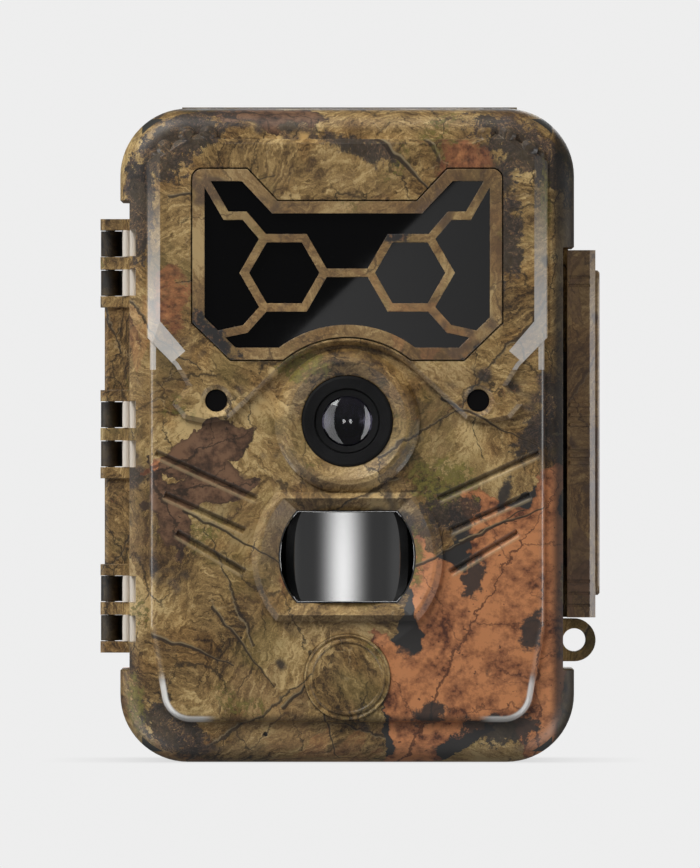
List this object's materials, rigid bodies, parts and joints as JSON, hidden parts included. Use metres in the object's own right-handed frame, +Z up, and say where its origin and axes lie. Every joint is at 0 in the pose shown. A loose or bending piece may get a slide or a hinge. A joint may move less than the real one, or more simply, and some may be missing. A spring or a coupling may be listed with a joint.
{
  "type": "trail camera",
  "caption": "Weatherproof trail camera: hinged two-part housing with lever latch, infrared lamp window, lens, motion sensor window, inner screen panel, battery tray and tripod thread.",
  "frame": {"origin": "centre of the tripod thread's mouth in the flat bottom of the back housing", "axes": "+Z up along the housing's height; -Y is the way the lens looks, +Y the back; +X is the viewer's right when facing the lens"},
  "size_m": [0.1074, 0.0739, 0.1405],
  "materials": {
    "camo_shell": "moulded ABS with a film-printed camouflage, satin",
    "camo_trim": "camouflage film on a thin moulded frame, satin",
    "dark_pane": "infrared-pass acrylic, nearly black, polished",
    "motion_lens": "dark polyethylene lens, glossy",
    "black_abs": "fine-textured black ABS",
    "optical_glass": "coated optical glass",
    "dark_lens": "tinted light pipe",
    "emblem": "camouflage film, satin",
    "circuit_board": "solder-masked fibreglass",
    "chip": "epoxy package",
    "lamp_epoxy": "clear smoked epoxy",
    "nickel": "nickel-plated sheet",
    "steel": "turned or stamped steel",
    "screw_steel": "zinc-plated steel",
    "inner_abs": "spark-textured dark ABS",
    "screen_pane": "hard-coated acrylic",
    "screen": "liquid-crystal screen in a metal tray",
    "key_rubber": "moulded silicone",
    "card": "memory card plastic",
    "soft_rubber": "soft moulded rubber",
    "brass": "turned brass",
    "cell": "steel can with a printed sleeve",
    "gold": "gold-plated",
    "paper_cone": "pressed cone in a steel basket"
  },
  "bodies": {
    "back_housing": {"back_shell": "camo_shell", "tripod_insert": "brass", "door_seal": "soft_rubber", "hinge_pins": "steel", "battery_tray": "inner_abs", "batteries": "cell", "battery_springs": "nickel", "battery_contacts": "nickel", "tray_screws": "screw_steel", "power_pin_block": "black_abs", "power_pins": "gold", "latch_pin": "steel"},
    "front_housing": {"front_shell": "camo_shell", "lamp_window_frame": "camo_trim", "lamp_window": "dark_pane", "lens_bezel": "black_abs", "lens_window": "optical_glass", "lens_barrel": "black_abs", "lens_element": "optical_glass", "lens_holder": "black_abs", "image_sensor": "chip", "sensor_board": "circuit_board", "pir_lens": "motion_lens", "pir_retainer": "black_abs", "pir_sensor": "nickel", "pir_board": "circuit_board", "indicator_lens": "dark_lens", "light_sensor_window": "dark_lens", "emblem_disc": "emblem", "led_board": "circuit_board", "infrared_leds": "lamp_epoxy", "main_board": "circuit_board", "board_chips": "chip", "microphone": "nickel", "speaker": "paper_cone", "tact_switches": "nickel", "inner_panel": "inner_abs", "screen_window": "screen_pane", "lcd_module": "screen", "mode_switch_body": "nickel", "sd_socket": "nickel", "usb_socket": "nickel", "dc_jack": "black_abs", "keeper_clip": "steel", "contact_pads": "gold", "panel_screws": "screw_steel", "board_screws": "screw_steel"},
    "latch": {"latch_lever": "camo_shell"},
    "mode_switch": {"mode_switch_knob": "black_abs"},
    "memory_card": {"sd_card": "card"},
    "ir_filter": {"ir_cut_slider": "black_abs"},
    "port_flap": {"port_cover": "soft_rubber"},
    "button_ok": {"button_ok": "key_rubber"},
    "button_up": {"button_up": "key_rubber"},
    "button_down": {"button_down": "key_rubber"},
    "button_left": {"button_left": "key_rubber"},
    "button_right": {"button_right": "key_rubber"},
    "button_menu": {"button_menu": "key_rubber"},
    "button_play": {"button_play": "key_rubber"}
  },
  "joints": [
    {"name": "door_hinge", "type": "hinge", "parent": "back_housing", "child": "front_housing", "pos_m": [-0.0511, -0.017, 0.0702], "axis": [0, 0, -1], "range_deg": [0, 135], "deforming": ["keeper_clip"]},
    {"name": "latch_hinge", "type": "hinge", "parent": "back_housing", "child": "latch", "pos_m": [0.0499, -0.007, 0.0703], "axis": [0, 0, 1], "range_deg": [0, 95]},
    {"name": "mode_switch_slide", "type": "slide", "parent": "front_housing", "child": "mode_switch", "axis": [1, 0, 0], "range_m": [-0.0025, 0.0025]},
    {"name": "memory_card_slide", "type": "slide", "parent": "front_housing", "child": "memory_card", "axis": [-1, 0, 0], "range_m": [0, 0.0235]},
    {"name": "ir_filter_slide", "type": "slide", "parent": "front_housing", "child": "ir_filter", "axis": [1, 0, 0], "range_m": [0, 0.0052]},
    {"name": "port_flap_hinge", "type": "hinge", "parent": "front_housing", "child": "port_flap", "pos_m": [0.0195, -0.041, 0.00095], "axis": [-1, 0, 0], "range_deg": [0, 100]},
    {"name": "button_ok_press", "type": "slide", "parent": "front_housing", "child": "button_ok", "axis": [0, -1, 0], "range_m": [0, 0.0006], "stiffness_N_per_m": 300},
    {"name": "button_up_press", "type": "slide", "parent": "front_housing", "child": "button_up", "axis": [0, -1, 0], "range_m": [0, 0.0006], "stiffness_N_per_m": 300},
    {"name": "button_down_press", "type": "slide", "parent": "front_housing", "child": "button_down", "axis": [0, -1, 0], "range_m": [0, 0.0006], "stiffness_N_per_m": 300},
    {"name": "button_left_press", "type": "slide", "parent": "front_housing", "child": "button_left", "axis": [0, -1, 0], "range_m": [0, 0.0006], "stiffness_N_per_m": 300},
    {"name": "button_right_press", "type": "slide", "parent": "front_housing", "child": "button_right", "axis": [0, -1, 0], "range_m": [0, 0.0006], "stiffness_N_per_m": 300},
    {"name": "button_menu_press", "type": "slide", "parent": "front_housing", "child": "button_menu", "axis": [0, -1, 0], "range_m": [0, 0.0006], "stiffness_N_per_m": 300},
    {"name": "button_play_press", "type": "slide", "parent": "front_housing", "child": "button_play", "axis": [0, -1, 0], "range_m": [0, 0.0006], "stiffness_N_per_m": 300}
  ]
}
